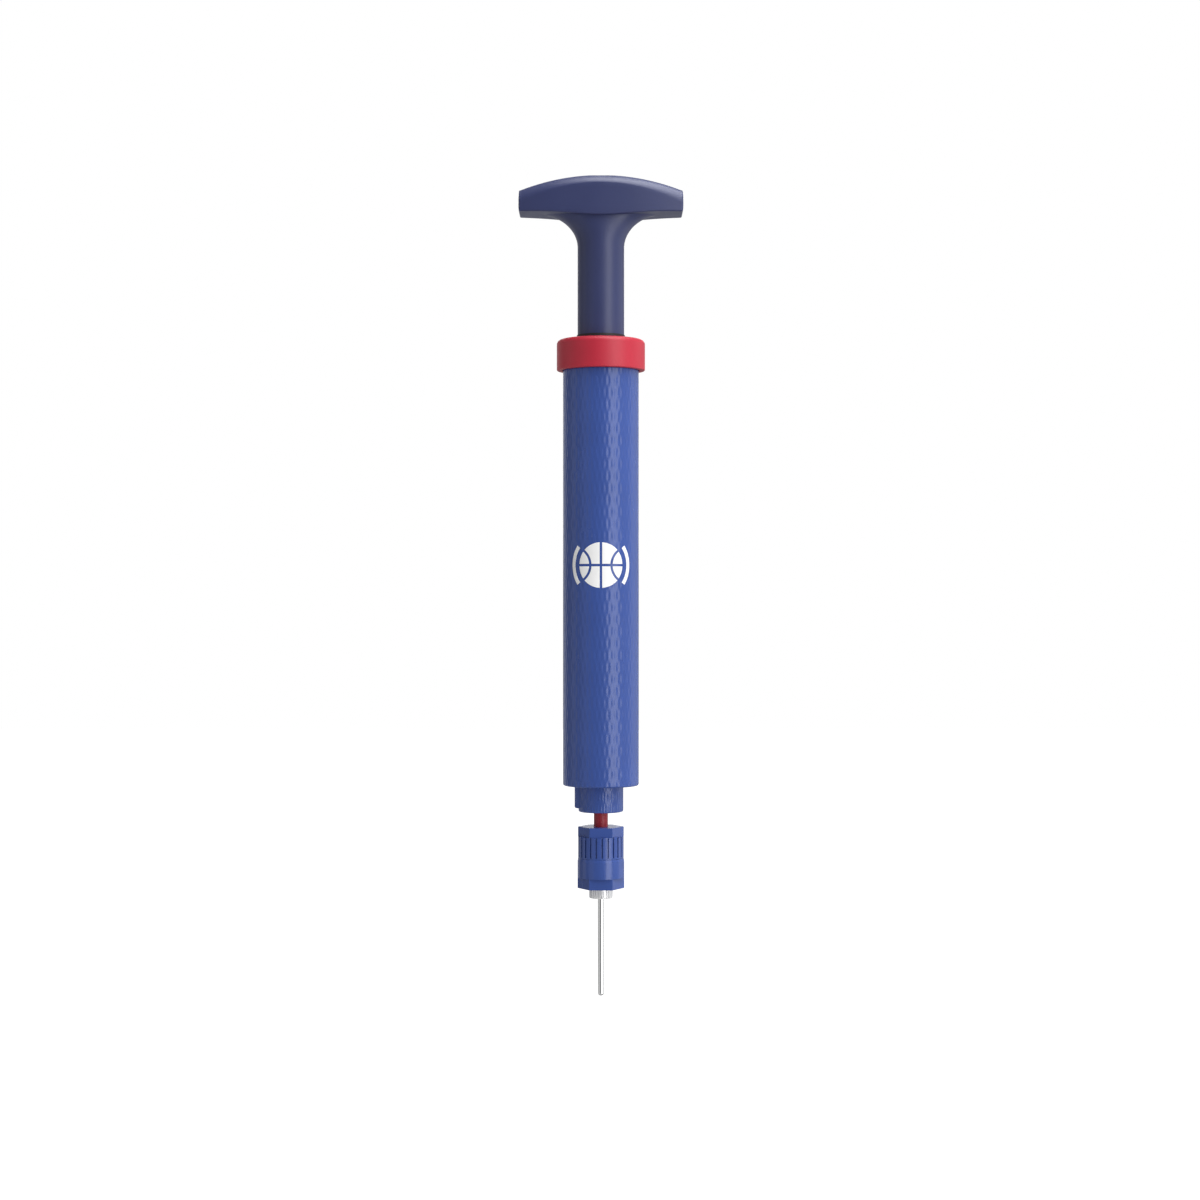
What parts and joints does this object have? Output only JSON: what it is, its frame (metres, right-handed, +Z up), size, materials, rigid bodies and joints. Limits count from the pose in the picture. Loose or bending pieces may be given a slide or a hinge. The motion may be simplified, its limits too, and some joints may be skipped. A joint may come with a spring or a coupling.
{
  "type": "ball inflation pump",
  "caption": "Double-acting hand pump for sports balls: T-handle plunger, screw-on collar cap, and a hose that slides out of the barrel's foot and carries a needle.",
  "frame": {"origin": "on the pump's axis at the tip of its needle, which is the model's lowest point", "axes": "+Z up the pump's axis from the needle to the handle, +X along the handle's crossbar, -Y is the front, and the air inlet's boss is on the -X side"},
  "size_m": [0.061, 0.0326, 0.3019],
  "materials": {
    "needle_metal": "bright nickel plating on brass and steel",
    "blue_plastic": "moulded royal blue plastic, satin to gloss",
    "navy_plastic": "moulded navy plastic, fine satin",
    "red_plastic": "moulded red plastic, satin",
    "red_hose": "red flexible hose, satin",
    "black_rubber": "matt black rubber",
    "white_plastic": "natural white moulded plastic",
    "brass_fitting": "plain turned brass"
  },
  "bodies": {
    "barrel": {"barrel": "blue_plastic", "hose_guide": "navy_plastic", "air_tube": "white_plastic", "base_gasket": "black_rubber", "collar_cap": "red_plastic", "rod_bush": "white_plastic", "bush_seal": "black_rubber", "rod_seal": "black_rubber", "rod_wiper": "black_rubber"},
    "intake_valve": {"intake_disc": "black_rubber"},
    "piston": {"piston_head": "white_plastic", "tube_seal": "black_rubber", "gland_ring": "white_plastic"},
    "transfer_valve": {"piston_ring": "black_rubber"},
    "handle": {"handle": "navy_plastic"},
    "hose_seal": {"hose_stop_ring": "black_rubber"},
    "hose_head": {"hose": "red_hose", "hose_stop": "white_plastic", "hose_tail": "brass_fitting", "hose_ferrule": "brass_fitting", "hose_nut": "blue_plastic", "needle_socket": "blue_plastic", "tail_washer": "black_rubber", "needle_washer": "black_rubber", "needle_collar": "needle_metal", "needle_tube": "needle_metal"}
  },
  "joints": [
    {"name": "handle_slide", "type": "slide", "parent": "barrel", "child": "piston", "axis": [0, 0, 1], "range_m": [-0.032, 0.0975]},
    {"name": "handle_turn", "type": "hinge", "parent": "piston", "child": "handle", "pos_m": [0, 0, 0.2], "axis": [0, 0, 1], "continuous": true},
    {"name": "transfer_valve_float", "type": "slide", "parent": "piston", "child": "transfer_valve", "axis": [0, 0, 1], "range_m": [0, 0.0008]},
    {"name": "intake_valve_lift", "type": "slide", "parent": "barrel", "child": "intake_valve", "axis": [0, 0, 1], "range_m": [0, 0.0008]},
    {"name": "hose_slide", "type": "slide", "parent": "barrel", "child": "hose_seal", "axis": [0, 0, -1], "range_m": [-0.0052, 0.14]},
    {"name": "hose_turn", "type": "hinge", "parent": "hose_seal", "child": "hose_head", "pos_m": [0, 0, 0.1], "axis": [0, 0, 1], "continuous": true}
  ]
}
